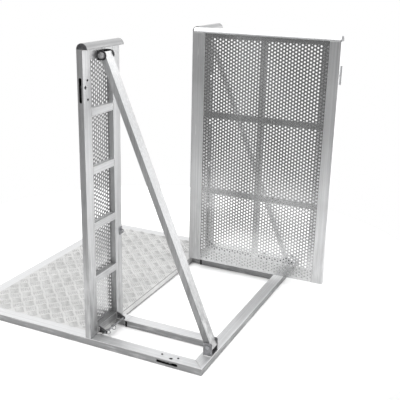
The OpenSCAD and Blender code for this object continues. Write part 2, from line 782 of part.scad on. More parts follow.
// Plate behind the free stile that laps the next panel's stile and stops the leaf when shut
module stop_plate() {
    stop_t = 5;
    x0 = leaf_x1 - 0.9 * stile_w;
    x1 = leaf_x1 + stop_over;
    color(alu) on_gate() translate([0, 0, latch_z - stop_h / 2]) linear_extrude(stop_h)
        polygon([[x0, stile_d], [leaf_x1, stile_d], [leaf_x1, stile_d + seat],
                 [x1, stile_d + seat], [x1, stile_d + stop_t], [x0, stile_d + stop_t]]);
}
// Latch bolt through the free stile, with a handle on its tail behind the sheet
module latch_bolt() {
    tip = leaf_x1 - 1;
    knob_x = tip - latch_tail + knob_in;
    handle = [12, 5, 42];
    handle_y = stile_d + 7;
    handle_turn = 30;
    color(steel) on_gate() {
        bar_x(tip - latch_tail / 2, [latch_y, latch_z], latch_r, latch_tail);
        translate([knob_x, latch_y, latch_z]) rotate([-90, 0, 0])
            cylinder(r = latch_r - 2, h = handle_y + handle[1] / 2 - latch_y);
        translate([knob_x, handle_y, latch_z]) rotate([0, handle_turn, 0])
            translate([-handle[0] / 2, 0, -handle[0] / 2]) cube(handle);
    }
}

side_rail_right();
side_rail_left();
front_rail();
rear_rail();
cross_rail();
inner_rail_right();
inner_rail_left();
rail_spigots();
rail_collars();
tread_plate();
plate_bearers();
brace_lugs();
lug_pins();
fold_clevises();
fold_bolts();
base_lock_case();
base_catch_case();
base_hook();
outer_stile_right();
inner_stile_right();
panel_rails_right();
panel_sheet_right();
top_cap_right();
cap_plugs_right();
foot_gussets_right();
toe_rod_right();
brace_bracket_right();
pivot_bolt_right();
fold_tabs_right();
upper_lock_case();
gate_staple();
upper_hook();
brace_right();
outer_stile_left();
inner_stile_left();
panel_rails_left();
panel_sheet_left();
top_cap_left();
cap_plugs_left();
foot_gussets_left();
toe_rod_left();
brace_bracket_left();
pivot_bolt_left();
fold_tabs_left();
upper_catch_case();
gate_hinge_hooks();
brace_left();
gate_hinge_stile();
gate_free_stile();
gate_rails();
gate_centre_rib();
gate_strips();
gate_sheet();
gate_top_cap();
gate_cap_plugs();
gate_hinge_straps();
stop_plate();
latch_bolt();
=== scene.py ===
"""Looks of a folding stage barrier unit with a gate: tubes with rounded edges, punched sheets, tread bars,
weld beads, finishes and a plain studio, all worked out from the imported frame."""

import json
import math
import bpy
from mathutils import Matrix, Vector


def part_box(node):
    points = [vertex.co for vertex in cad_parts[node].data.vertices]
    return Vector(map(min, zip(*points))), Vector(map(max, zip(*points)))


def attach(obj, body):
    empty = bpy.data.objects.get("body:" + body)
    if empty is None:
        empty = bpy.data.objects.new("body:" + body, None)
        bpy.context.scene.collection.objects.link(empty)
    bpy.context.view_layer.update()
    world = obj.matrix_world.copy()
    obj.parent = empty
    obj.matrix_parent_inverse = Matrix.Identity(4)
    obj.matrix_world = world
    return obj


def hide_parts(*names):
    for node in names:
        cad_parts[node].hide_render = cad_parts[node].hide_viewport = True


bl_info = {
    "name": "Stage barrier unit",
    "version": (1, 0, 0),
    "blender": (4, 5, 0),
    "location": "3D View > Sidebar > Barrier",
    "description": "Punched sheets, tread bars, welds, rounded tubes and finishes of a stage barrier unit",
    "category": "Add Mesh",
}

import bmesh
import bpy
import numpy as np
from mathutils import Matrix, Vector

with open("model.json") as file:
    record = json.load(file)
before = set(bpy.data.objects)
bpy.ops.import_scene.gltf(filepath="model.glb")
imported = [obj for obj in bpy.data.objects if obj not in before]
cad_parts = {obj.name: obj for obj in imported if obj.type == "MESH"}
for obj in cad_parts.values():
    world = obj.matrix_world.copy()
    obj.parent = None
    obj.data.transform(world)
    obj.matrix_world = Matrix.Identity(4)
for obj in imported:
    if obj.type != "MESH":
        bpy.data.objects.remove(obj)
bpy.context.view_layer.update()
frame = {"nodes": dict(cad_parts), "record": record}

X, Y, Z = 0, 1, 2
SIDES = ("right", "left")
NODE_BODY = {node: body for body, nodes in frame["record"]["behaviour"]["bodies"].items() for node in nodes}
NODE_SLOT = {part["node"]: part["material_slot"] for part in frame["record"]["subparts"]}

# Tubes and sections by the direction that they were extruded in
TUBES_X = ["front_rail", "rear_rail", "cross_rail"]
TUBES_X += [f"{kind}_{side}" for kind in ("panel_rails", "top_cap") for side in SIDES]
TUBES_Y = [f"{kind}_{side}" for kind in ("side_rail", "inner_rail") for side in SIDES]
TUBES_Y += ["gate_rails", "gate_top_cap"]
TUBES_Z = ["gate_centre_rib", "gate_hinge_stile", "gate_free_stile"]
TUBES_Z += [f"{kind}_{side}" for kind in ("outer_stile", "inner_stile") for side in SIDES]
BRACES = [f"brace_{side}" for side in SIDES]
SHEETS = ["gate_sheet", "panel_sheet_right", "panel_sheet_left"]

# Kind of extruded aluminium on each body: one aluminium in lighter and darker copies by place, painted light
# and shade
KIND = {"base": "rail", "gate": "leaf"}
KIND.update({f"{part}_{side}": "post" for part in ("panel", "brace") for side in SIDES})
# Soiling and painted shade, darker towards the bottom: a low and a high level along Z, and the share of
# brightness that is left at the low one
SHADE_AND_GRIME = {"rail": (0.0265, 0.0295, 0.36), "post": (0.03, 0.75, 0.45), "leaf": (0.05, 0.50, 0.68)}
NO_SHADE_OR_GRIME = (0.0, 1.0, 1.0)
# The same for the gate's cross ribs, which run along Y, and its centre rib, along Z; their share also sets
# the painted shade on the faces behind the sheet
RIB_SHADE_AND_GRIME = {"y": (0.05, 0.50, 0.60), "z": (0.05, 0.50, 0.95)}
# Painted shade on the right brace's outer face, darker towards the bottom: a low and a high level along Z,
# and the share of dark at the low one
BRACE_SHADE = (0.10, 0.62, 0.62)
# Painted shade on the sheets by height: two stretches along Z, each with the amount of shade at its ends,
# and the lesser holds. On the gate it lies on the front face only, so that the back stays lighter
GATE_SHADE = (((0.14, 0.32), (0.76, 1.00)), ((0.42, 0.62), (1.00, 0.68)))
PANEL_SHADE = (((0.20, 0.85), (0.84, 0.92)), ((1.00, 1.20), (0.92, 1.00)))
# Stretch along Z over which the backing strips turn pale: painted light low down
STRIP_LIT = (0.62, 0.86)
# Scale of the die lines across and along the grain of the tubes
LINES_ACROSS = 260.0
LINES_ALONG = 1.3
# Painted shade on the faces that a sheet covers, before it is broken up into patches
COVERED_SHADE = 1.2
# How metallic the tubes and the left brace are: the left brace's lower metal makes it a lighter copy of the
# post finish, painted light
TUBE_METAL = 0.92
BRIGHTENED_METAL = 0.25
# Values between which a noise mostly lies
NOISE = (0.3, 0.7)
# Depths under a face between which painted shade on that face fades in
SKIN = (0.0006, 0.0004)

# Points closer than this lie in one place, and stretches closer than the gap are one
TOUCH = 1e-6
GAP = 1e-5
# Faces that turn less than this are one, and long edges that turn more than sharp are rounded
FLAT = math.radians(0.2)
SHARP = math.radians(60)
# Shortest edge that is rounded, in radii
LONG = 12
# Width of the plain line along the tread plate's rear fold, which is darkened as painted shade of the bend
FOLD_LINE = 0.006
# Plain margin along the sides of the tread plate
BAR_MARGIN = 0.001
# How far the weld beads are sunk into their seams, in radii, and the beads at the mitres set back, in depths
WELD_SUNK = 0.7
MITRE_BACK = 2.3
# Plain ends of the gusset welds
GUSSET_END = 0.004

FLOOR_CENTRE = (-0.2, -0.1, -0.0005)
FLOOR_RADIUS = 1.42
FLOOR_SIDES = 96
# Level direction in which the surroundings turn from white to grey, where along it they turn, and the grey
GREY_SIDE = (0.75, -0.66, 0.0)
GREY_TURN = (-0.1, 0.6)
GREY = 0.19
# Where the glow behind the object fades, along the same direction and in height
GLOW_FADE = (-1.0, -0.76)
GLOW_HEIGHT = (0.15, 0.45)
UPWARDS = (0.0, 0.0, 1.0)
SUN_ENERGY = 3.5
SUN_ANGLE = math.radians(85)
SUN_DIRECTION = (-0.25, 0.15, -1.0)
CAMERA_PLACE = (2.7067, 1.4694, 1.4636)
CAMERA_YAW = math.radians(24.8)
CAMERA_PITCH = math.radians(18.3)
CAMERA_ROLL = math.radians(1.3)
CAMERA_SENSOR = 36.0
CAMERA_LENS = 63.4


# Settings


def length(name, description, default):
    """A length property in metres."""
    return bpy.props.FloatProperty(
        name=name, description=description, default=default, min=0.0, unit="LENGTH", precision=4
    )


def colour(name, description, default):
    """A colour property, linear red, green and blue."""
    return bpy.props.FloatVectorProperty(
        name=name, description=description, default=default, size=3, min=0.0, max=1.0, subtype="COLOR"
    )


class BarrierSizes(bpy.types.PropertyGroup):
    """Sizes of the holes, bars, welds and edges"""

    hole: length("Hole", "Diameter of the punched holes", 0.0090)
    pitch: length("Pitch", "Distance between neighbouring holes", 0.016)
    sheet: length("Sheet", "Thickness of the punched sheets", 0.0012)
    hole_edge: length("Hole edge", "Least metal between a hole and the side of its sheet", 0.002)
    hole_end: length("Hole end", "Least metal between a hole and the top or foot of its sheet", 0.010)
    tread_cell: length("Tread cell", "Side of the square that one group of five bars fills", 0.050)
    bar_length: length("Bar length", "Length of a tread bar", 0.037)
    bar_width: length("Bar width", "Width of a tread bar", 0.0055)
    bar_height: length("Bar height", "Height of a tread bar over the plate", 0.0016)
    bar_gap: length("Bar gap", "Distance between the middles of two bars of a group", 0.0095)
    weld: length("Weld", "Radius of the weld beads", 0.0030)
    weld_ripple: length("Weld ripple", "Distance between two ripples of a weld bead", 0.0042)
    edge: length("Edge", "Radius of the long edges of the tubes", 0.0015)


class BarrierColours(bpy.types.PropertyGroup):
    """Colours of the finishes and the floor"""

    # Rail, post and leaf are one aluminium in three tones, lighter and darker copies by place: painted light
    # and shade
    rail: colour("Rail", "Extruded aluminium of the floor frame", (0.72, 0.724, 0.73))
    post: colour("Post", "Extruded aluminium of the side panels and the right brace", (0.78, 0.784, 0.79))
    leaf: colour("Leaf", "Extruded aluminium of the gate", (0.80, 0.804, 0.81))
    sheet: colour("Sheet", "Rolled aluminium of the punched sheets", (0.92, 0.924, 0.93))
    tread: colour("Tread", "Aluminium of the tread plate", (0.62, 0.62, 0.615))
    # The left brace's colour: a lighter copy of the post finish, with less metal and no darkening: painted
    # light
    weathered: colour("Weathered", "Weathered aluminium of the left brace", (0.80, 0.804, 0.81))
    # The weld tone is lowered as painted shade of the corners that the beads lie in
    weld: colour("Weld", "Weld metal", (0.55, 0.55, 0.545))
    steel: colour("Steel", "Zinc plated steel fittings", (0.42, 0.425, 0.44))
    dark_steel: colour("Dark steel", "Darkened steel of the brackets", (0.11, 0.11, 0.115))
    hook: colour("Hook", "Steel of the lock hooks", (0.24, 0.243, 0.247))
    worn_steel: colour("Worn steel", "Worn steel of the lugs", (0.30, 0.30, 0.31))
    # The gussets' near-black tone: worn steel, and partly painted shade of the narrow gap beside the stile
    foot_steel: colour("Foot steel", "Worn steel of the gussets", (0.17, 0.17, 0.175))
    black_steel: colour("Black steel", "Blackened steel of the lock cases", (0.015, 0.015, 0.016))
    bright: colour("Bright zinc", "Bright zinc of the pivot bolts", (0.75, 0.75, 0.76))
    # The caps' tone is set darker so that their tops don't mirror the bright surroundings: painted shade
    cap: colour("Cap", "Dull aluminium of the side panels' caps", (0.46, 0.462, 0.466))
    # The backing strips' dark grey is painted shade from the sheet in front of them
    strip: colour("Strip", "Dull backing strips behind the gate's sheet", (0.36, 0.36, 0.365))
    plastic: colour("Plastic", "Black plugs and collars", (0.006, 0.006, 0.006))
    floor: colour("Floor", "Studio floor", (0.94, 0.94, 0.94))


# Meshes


def piece(name, points, faces, body, slot, material, smooth=False):
    """Object at the origin from (n, 3) points and (m, k) faces with k corners each."""
    mesh = bpy.data.meshes.new(name)
    mesh.vertices.add(len(points))
    mesh.vertices.foreach_set("co", np.ascontiguousarray(points, np.float32).ravel())
    mesh.loops.add(faces.size)
    mesh.loops.foreach_set("vertex_index", np.ascontiguousarray(faces, np.int32).ravel())
    mesh.polygons.add(len(faces))
    mesh.polygons.foreach_set("loop_start", np.arange(0, faces.size, faces.shape[1], dtype=np.int32))
    mesh.polygons.foreach_set("use_smooth", np.full(len(faces), smooth))
    mesh.update(calc_edges=True)
    if mesh.validate():
        raise RuntimeError(f"{name} has faces that are not valid")
    mesh.materials.append(material)
    obj = bpy.data.objects.new(name, mesh)
    bpy.context.scene.collection.objects.link(obj)
    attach(obj, body)
    return obj


def mark(obj, name, where):
    """Attribute of a piece that is 1 at the points where a test holds, and 0 at the others."""
    values = obj.data.attributes.new(name, "FLOAT", "POINT")
    values.data.foreach_set("value", where.astype(np.float32))


def bands(node, axis):
    """Stretches along an axis that a node fills, as (start, end) pairs: its triangles' spans, merged."""
    mesh = frame["nodes"][node].data
    mesh.calc_loop_triangles()
    co = np.empty(len(mesh.vertices) * 3)
    mesh.vertices.foreach_get("co", co)
    corners = np.empty(len(mesh.loop_triangles) * 3, np.int32)
    mesh.loop_triangles.foreach_get("vertices", corners)
    level = co.reshape(-1, 3)[corners.reshape(-1, 3), axis]
    start, end = level.min(axis=1), level.max(axis=1)
    order = np.argsort(start)
    start, reach = start[order], np.maximum.accumulate(end[order])
    breaks = np.flatnonzero(start[1:] > reach[:-1] + GAP)
    return list(zip(start[np.append(0, breaks + 1)], reach[np.append(breaks, -1)]))


def circle(count):
    """Points at even angles round a circle of radius 1, as a (count, 2) array of cosines and sines."""
    turn = np.radians(360 / count * np.arange(count))
    return np.stack([np.cos(turn), np.sin(turn)], axis=-1)


def punched_sheet(width, height, thick, pitch, hole, edge, end):
    """Points (across, up, through) and triangles of a flat sheet with round holes in upright columns.

    Columns are pitch * sqrt(3) / 2 apart, and every second one is half a pitch higher with one hole
    fewer. Each hole owns a six-sided cell whose corners are pitch / sqrt(3) from the middle. Corners on
    the border move out to the sheet's edges, so that the cells fill the rectangle. Twelve points go
    round each hole, two for each side of its cell.
    """
    column = pitch * math.sqrt(3) / 2
    columns = int((width - hole - 2 * edge) / column) + 1
    rows = int((height - hole - 2 * end) / pitch) + 1
    i, j = (a.ravel() for a in np.meshgrid(np.arange(columns), np.arange(rows), indexing="ij"))
    odd = i % 2
    kept = j < rows - odd
    i, j, odd = i[kept], j[kept], odd[kept]
    margin_x = (width - (columns - 1) * column) / 2
    margin_y = (height - (rows - 1) * pitch) / 2
    middle = np.stack([margin_x + i * column, margin_y + (j + odd / 2) * pitch], axis=-1)
    corner = middle[:, None] + pitch / math.sqrt(3) * circle(6)
    first, last, low, high = i == 0, i == columns - 1, j == 0, j == rows - 1 - odd
    for k, across, up in ((0, 1, 0), (1, 1, 1), (2, -1, 1), (3, -1, 0), (4, -1, -1), (5, 1, -1)):
        on_border = first if across < 0 else last
        corner[on_border, k, 0] = 0 if across < 0 else width
        for side, level in ((low, 0), (high, height)):
            if up == 0:
                corner[side & (odd == 0) & ~on_border, k, 1] = level
            elif (up > 0) == (level > 0):
                corner[side, k, 1] = level
    outline, index = np.unique(np.round(corner.reshape(-1, 2), 7), axis=0, return_inverse=True)
    cells = len(middle)
    index = index.reshape(cells, 6)
    rim = (middle[:, None] + hole / 2 * circle(12)).reshape(-1, 2)
    flat = np.concatenate([outline, rim])
    points = np.concatenate([np.insert(flat, 2, thick / 2, axis=1), np.insert(flat, 2, -thick / 2, axis=1)])
    ring = len(outline) + np.arange(cells * 12).reshape(cells, 12)
    here, ahead = index, np.roll(index, -1, axis=1)
    even, mid, after = ring[:, 0::2], ring[:, 1::2], np.roll(ring[:, 0::2], -1, axis=1)
    triangles = ((here, ahead, mid), (here, mid, even), (ahead, after, mid))
    face = np.concatenate([np.stack(three, axis=-1).reshape(-1, 3) for three in triangles])
    back = len(flat)
    a, b = ring.ravel(), np.roll(ring, -1, axis=1).ravel()
    wall = [np.stack([a, b, b + back], axis=-1), np.stack([a, b + back, a + back], axis=-1)]
    side = np.stack([here.ravel(), ahead.ravel()], axis=-1)
    _, where, uses = np.unique(np.sort(side, axis=1), axis=0, return_index=True, return_counts=True)
    a, b = side[where[uses == 1]].T
    wall += [np.stack([a, a + back, b + back], axis=-1), np.stack([a, b + back, b], axis=-1)]
    return points, np.concatenate([face, face[:, ::-1] + back, *wall])


def tread_bars(low, high, cell, size, gap, free_x, free_y):
    """Points and triangles of the bars on a plate whose top face runs from low to high.

    Square cells stand on their corners, and bars run along one diagonal in every second cell and
    along the other in the rest, five side by side. Places beyond free_x on both sides and behind
    free_y, where the panels stand, stay plain. A bar is a closed lens: a point at each end and three
    rings of six points, the outer two 0.86 of the way to the ends and seven tenths as wide and high.
    """
    along, across, up = size[0] / 2, size[1] / 2, size[2] / math.sin(math.radians(60))
    place, share = np.array([-0.86, 0.0, 0.86]), np.array([0.7, 1.0, 0.7])
    sides = 6
    around = circle(sides)
    ring = np.stack(
        [
            np.repeat(place * along, sides),
            np.outer(share, around[:, 0]).ravel() * across,
            np.outer(share, around[:, 1]).ravel() * up,
        ],
        axis=-1,
    )
    lens = np.concatenate([[[-along, 0, 0]], ring, [[along, 0, 0]]])
    a = np.arange(sides)
    b = (a + 1) % sides
    first, second, third, tip = 1 + sides * np.arange(4)
    faces = [np.stack([np.zeros(sides, int), first + b, first + a], axis=-1)]
    faces.append(np.stack([third + a, third + b, np.full(sides, tip)], axis=-1))
    for here, after in ((first, second), (second, third)):
        faces.append(np.stack([here + a, here + b, after + b], axis=-1))
        faces.append(np.stack([here + a, after + b, after + a], axis=-1))
    faces = np.concatenate(faces)
    span = high[:2] - low[:2]
    reach = int(span.sum() / cell) + 1
    i, j, k = (g.ravel() for g in np.meshgrid(*[np.arange(-reach, reach + 1)] * 2, np.arange(-2, 3)))
    turned = (i + j) % 2 == 1
    diagonal = np.array([1.0, 1.0]) / math.sqrt(2)
    other = np.array([-1.0, 1.0]) / math.sqrt(2)
    run = np.where(turned[:, None], other, diagonal)
    beside = np.where(turned[:, None], -diagonal, other)
    middle = (low[:2] + high[:2]) / 2 + cell * (i[:, None] * diagonal + j[:, None] * other)
    middle = middle + gap * k[:, None] * beside
    inside = np.all((middle > low[:2] + size[1]) & (middle < high[:2] - size[1]), axis=1)
    inside &= (np.abs(middle[:, 0]) < free_x - along) | (middle[:, 1] < free_y - along)
    run, beside, middle = run[inside], beside[inside], middle[inside]
    flat = middle[:, None] + run[:, None] * lens[None, :, :1] + beside[:, None] * lens[None, :, 1:2]
    flat = np.clip(flat, low[:2] + BAR_MARGIN, high[:2] - BAR_MARGIN)
    level = np.broadcast_to(high[2] + lens[None, :, 2:], flat.shape[:2] + (1,))
    count = len(middle)
    points = np.concatenate([flat, level], axis=-1).reshape(-1, 3)
    return points, (np.arange(count)[:, None, None] * len(lens) + faces).reshape(-1, 3)


def weld_bead(start, end, radius, ripple):
    """Points and triangles of a bead along a seam: a ring of eight points carried from start to end.

    There are three rings to a ripple, and six at least. The radius swells by a sixth at every ripple
    and falls to nothing at both ends over one radius. The ring starts at right angles to a direction
    that no seam has.
    """
    sides, aslant = 8, (0.31, 0.59, 0.74)
    start, end = np.asarray(start, float), np.asarray(end, float)
    run = end - start
    span = np.linalg.norm(run)
    run = run / span
    side = np.cross(run, aslant)
    side /= np.linalg.norm(side)
    other = np.cross(run, side)
    rings = max(int(span / ripple * 3), 6)
    s = np.linspace(0, span, rings + 2)
    swell = 1 + np.sin(2 * math.pi * s / ripple) / 6
    fall = np.sqrt(np.clip(np.minimum(s, span - s) / radius, 0, 1))
    r = (radius * swell * fall)[1:-1]
    around = circle(sides)
    ring = around[:, :1] * side + around[:, 1:] * other
    tube = (start + s[1:-1, None] * run)[:, None] + r[:, None, None] * ring
    points = np.concatenate([[start], tube.reshape(-1, 3), [end]])
    a = 1 + np.arange(rings * sides).reshape(rings, sides)
    b = np.roll(a, -1, axis=1)
    walls = [
        np.stack([a[:-1], b[:-1], b[1:]], axis=-1).reshape(-1, 3),
        np.stack([a[:-1], b[1:], a[1:]], axis=-1).reshape(-1, 3),
    ]
    caps = [
        np.stack([np.zeros(sides, int), b[0], a[0]], axis=-1),
        np.stack([a[-1], b[-1], np.full(sides, len(points) - 1)], axis=-1),
    ]
    return points, np.concatenate(walls + caps)


def joined(parts):
    """One pair of point and face arrays from several."""
    shift = np.cumsum([0] + [len(points) for points, _ in parts[:-1]])
    points = np.concatenate([points for points, _ in parts])
    return points, np.concatenate([faces + n for (_, faces), n in zip(parts, shift)])


def rounded_copy(node, radius, material):
    """Copy of a tube with its doubles merged and its long sharp edges rounded, which stands for the tube."""
    mesh = frame["nodes"][node].data.copy()
    mesh.name = f"rounded_{node}"
    work = bmesh.new()
    work.from_mesh(mesh)
    bmesh.ops.remove_doubles(work, verts=work.verts, dist=TOUCH)
    bmesh.ops.dissolve_limit(
        work, angle_limit=FLAT, verts=work.verts, edges=work.edges, use_dissolve_boundaries=False
    )
    weight = work.edges.layers.float.new("bevel_weight_edge")
    for edge in work.edges:
        sharp = len(edge.link_faces) == 2 and edge.calc_face_angle(0.0) > SHARP
        edge[weight] = 1.0 if sharp and edge.calc_length() > LONG * radius else 0.0
    work.to_mesh(mesh)
    work.free()
    mesh.materials.clear()
    mesh.materials.append(material)
    obj = bpy.data.objects.new(f"rounded_{node}", mesh)
    bpy.context.scene.collection.objects.link(obj)
    bevel = obj.modifiers.new("rounded edges", "BEVEL")
    bevel.width = radius
    bevel.segments = 2
    bevel.limit_method = "WEIGHT"
    bevel.harden_normals = False
    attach(obj, NODE_BODY[node])
    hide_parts(node)
    return obj


# Finishes


def new_material(name):
    """Empty material with a Principled shader, its node tree and that shader."""
    material = bpy.data.materials.new(name)
    material.use_nodes = True
    tree = material.node_tree
    return material, tree, tree.nodes["Principled BSDF"]


def noise(tree, detail, scale=1.0, stretch=(1, 1, 1), turn=(0, 0, 0), rough=0.5):
    """Noise on Object coordinates, stretched and turned by a Mapping node; returns its factor socket."""
    place = tree.nodes.new("ShaderNodeTexCoord")
    mapping = tree.nodes.new("ShaderNodeMapping")
    mapping.inputs["Scale"].default_value = stretch
    mapping.inputs["Rotation"].default_value = turn
    texture = tree.nodes.new("ShaderNodeTexNoise")
    texture.inputs["Scale"].default_value = scale
    texture.inputs["Detail"].default_value = detail
    texture.inputs["Roughness"].default_value = rough
    tree.links.new(place.outputs["Object"], mapping.inputs["Vector"])
    tree.links.new(mapping.outputs["Vector"], texture.inputs["Vector"])
    return texture.outputs["Fac"]


def position(tree):
    """Place of a point on its piece: the X, Y and Z outputs of its Object coordinates."""
    place = tree.nodes.new("ShaderNodeTexCoord")
    part = tree.nodes.new("ShaderNodeSeparateXYZ")
    tree.links.new(place.outputs["Object"], part.inputs["Vector"])
    return part.outputs


def attribute(tree, name):
    """Value of a piece's own attribute."""
    node = tree.nodes.new("ShaderNodeAttribute")
    node.attribute_name = name
    return node.outputs["Fac"]


def spread(tree, value, source, target):
    """Value mapped from the source range onto the target range, and held outside."""
    node = tree.nodes.new("ShaderNodeMapRange")
    for prefix, ends in (("From", source), ("To", target)):
        node.inputs[f"{prefix} Min"].default_value, node.inputs[f"{prefix} Max"].default_value = ends
    tree.links.new(value, node.inputs["Value"])
    return node.outputs["Result"]


def combined(tree, operation, first, second, clamp=False):
    """One value from two by a Math node, which may hold it between 0 and 1."""
    node = tree.nodes.new("ShaderNodeMath")
    node.operation = operation
    node.use_clamp = clamp
    tree.links.new(first, node.inputs[0])
    tree.links.new(second, node.inputs[1])
    return node.outputs["Value"]


def in_front(tree, x, level, value):
    """Value on the faces that lie in front of a level along X, and 0 behind it."""
    return spread(tree, x, (level - SKIN[0], level - SKIN[1]), (0.0, value))


def mixed(tree, factor, first, second, blend="MIX"):
    """Colour from two colours or colour sockets by a factor socket: between them, or blended another way."""
    node = tree.nodes.new("ShaderNodeMix")
    node.data_type = "RGBA"
    node.blend_type = blend
    for name, value in (("A", first), ("B", second)):
        socket = next(s for s in node.inputs if s.name == name and s.type == "RGBA")
        if isinstance(value, bpy.types.NodeSocket):
            tree.links.new(value, socket)
        else:
            socket.default_value = (*value, 1.0)
    tree.links.new(factor, node.inputs["Factor"])
    return next(s for s in node.outputs if s.type == "RGBA")


def bumped(tree, shader, height, strength, distance):
    """Fine relief from a height socket."""
    node = tree.nodes.new("ShaderNodeBump")
    node.inputs["Strength"].default_value = strength
    node.inputs["Distance"].default_value = distance
    tree.links.new(height, node.inputs["Height"])
    tree.links.new(node.outputs["Normal"], shader.inputs["Normal"])


def shade(tone, share):
    """A colour made lighter or darker by a share."""
    return tuple(min(c * share, 1.0) for c in tone)


def drawn_aluminium(
    name, tone, grain, turn=(0, 0, 0), darkening=NO_SHADE_OR_GRIME, covered=None, front_shade=None, metal=TUBE_METAL
):
    """Bare extruded aluminium: die lines along the grain, cloudy oxide and small bright scuffs.

    The darkening is a low and a high level along Z with the share of brightness left at the low one: soiling
    and painted shade, darker towards the bottom. In front of the level covered, along X, all is as dark as
    that: painted shade of the sheet that lies there. The front shade is such a level with a low and a high
    level along Z and the share of dark at the low one: painted shade on the front face. A lower metal
    makes a lighter copy of a finish: painted light.
    """
    material, tree, shader = new_material(name)
    place = position(tree)
    low, high, left = darkening
    # Soiling and painted shade: the colour darkens towards the bottom, broken into patches
    height = spread(tree, place["Z"], (low, high), (1.0, 0.0))
    if covered is not None:
        # Painted shade on the faces that lie behind a sheet
        height = combined(tree, "MAXIMUM", height, in_front(tree, place["X"], covered, COVERED_SHADE))
    stretch = [LINES_ACROSS, LINES_ACROSS, LINES_ACROSS]
    stretch[grain] = LINES_ALONG
    patches = noise(tree, detail=5.0, stretch=[s * 0.2 + 9.0 for s in stretch], turn=turn, rough=0.65)
    painted_shade = combined(tree, "MULTIPLY", height, spread(tree, patches, NOISE, (0.6, 1.4)), clamp=True)
    lines = noise(tree, detail=3.0, stretch=stretch, turn=turn)
    cloud = noise(tree, scale=5.0, detail=4.0, rough=0.6)
    scuffs = noise(tree, detail=2.0, stretch=[s * 0.35 + 9.0 for s in stretch], turn=turn)
    body = mixed(tree, spread(tree, lines, NOISE, (0, 1)), shade(tone, 0.84), shade(tone, 1.12))
    dull = mixed(tree, spread(tree, cloud, (0.35, 0.7), (0.0, 0.55)), body, shade(tone, 0.80))
    marked = mixed(tree, spread(tree, scuffs, (0.68, 0.75), (0.0, 0.6)), dull, shade(tone, 1.25))
    darkened = mixed(tree, painted_shade, marked, (left, left, left), "MULTIPLY")
    # Painted shade on the faces in front of a level along X, darker towards the bottom
    if front_shade is not None:
        level, low, high, share = front_shade
        front = in_front(tree, place["X"], level, 1.0)
        shade_mask = combined(tree, "MULTIPLY", front, spread(tree, place["Z"], (low, high), (share, 0.0)))
        darkened = mixed(tree, shade_mask, darkened, shade(tone, 0.12))
    tree.links.new(darkened, shader.inputs["Base Color"])
    tree.links.new(spread(tree, cloud, NOISE, (0.36, 0.52)), shader.inputs["Roughness"])
    shader.inputs["Metallic"].default_value = metal
    bumped(tree, shader, lines, strength=0.12, distance=0.0002)
    return material


def rolled_aluminium(name, tone, levels, both_sides):
    """Mill finished sheet: soft upright rolling streaks, clouds, handling marks and painted shade along the
    sides.

    Each of the levels is a stretch along Z with the amount of painted shade at its ends. The least of them
    holds, on the face only, where the attribute face is 1, or on both sides.
    """
    material, tree, shader = new_material(name)
    height = position(tree)["Z"]
    first, last = (spread(tree, height, *level) for level in levels)
    painted_shade = combined(tree, "MINIMUM", first, last)
    if not both_sides:
        painted_shade = combined(tree, "MULTIPLY", painted_shade, attribute(tree, "face"))
    streak = noise(tree, detail=3.0, stretch=(34.0, 34.0, 1.1))
    cloud = noise(tree, scale=3.2, detail=5.0, rough=0.62)
    marks = noise(tree, scale=46.0, detail=2.0)
    body = mixed(tree, spread(tree, streak, (0.32, 0.68), (0, 1)), shade(tone, 0.86), shade(tone, 1.08))
    dull = mixed(tree, spread(tree, cloud, (0.35, 0.72), (0.0, 0.6)), body, shade(tone, 0.74))
    marked = mixed(tree, spread(tree, marks, (0.66, 0.74), (0.0, 0.45)), dull, shade(tone, 1.2))
    # Painted shade by height, from the levels
    low = mixed(tree, painted_shade, marked, shade(tone, 0.42))
    # Painted shade along the sides of the sheet, where it meets the stiles
    border = spread(tree, attribute(tree, "border"), (0.35, 1.0), (0.0, 0.85))
    edged = mixed(tree, border, low, shade(tone, 0.3))
    tree.links.new(edged, shader.inputs["Base Color"])
    tree.links.new(spread(tree, cloud, NOISE, (0.17, 0.27)), shader.inputs["Roughness"])
    shader.inputs["Metallic"].default_value = 0.9
    bumped(tree, shader, cloud, strength=0.10, distance=0.001)
    return material


def trodden_aluminium(name, tone, fold):
    """Tread plate: bright metal with dull patches, scratches two ways and a line of painted shade along its
    rear fold.

    Painted shade also sits round the foot of each bar, where the attribute foot is 1.
    """
    material, tree, shader = new_material(name)
    line = tree.nodes.new("ShaderNodeMath")
    line.operation = "COMPARE"
    line.inputs[1].default_value = fold
    line.inputs[2].default_value = FOLD_LINE / 2
    tree.links.new(position(tree)["Y"], line.inputs[0])
    cloud = noise(tree, scale=7.0, detail=5.0, rough=0.6)
    first = noise(tree, detail=3.0, stretch=(14.0, 160.0, 40.0), turn=(0, 0, 0.5))
    second = noise(tree, detail=3.0, stretch=(150.0, 12.0, 40.0), turn=(0, 0, 0.3))
    body = mixed(tree, spread(tree, cloud, (0.32, 0.7), (0.0, 1.0)), shade(tone, 1.05), shade(tone, 0.82))
    once = mixed(tree, spread(tree, first, (0.62, 0.72), (0.0, 0.5)), body, shade(tone, 1.15))
    twice = mixed(tree, spread(tree, second, (0.62, 0.72), (0.0, 0.5)), once, shade(tone, 0.76))
    # Dark line along the rear fold: painted shade of the bend
    fold_shade = spread(tree, line.outputs["Value"], (0.0, 1.0), (0.0, 0.7))
    folded = mixed(tree, fold_shade, twice, shade(tone, 0.35))
    # Painted shade round the foot of each bar
    foot_shade = spread(tree, attribute(tree, "foot"), (0.0, 0.8), (0.0, 0.95))
    ringed = mixed(tree, foot_shade, folded, shade(tone, 0.16))
    tree.links.new(ringed, shader.inputs["Base Color"])
    tree.links.new(spread(tree, cloud, NOISE, (0.40, 0.56)), shader.inputs["Roughness"])
    shader.inputs["Metallic"].default_value = 0.85
    bumped(tree, shader, first, strength=0.10, distance=0.0003)
    return material


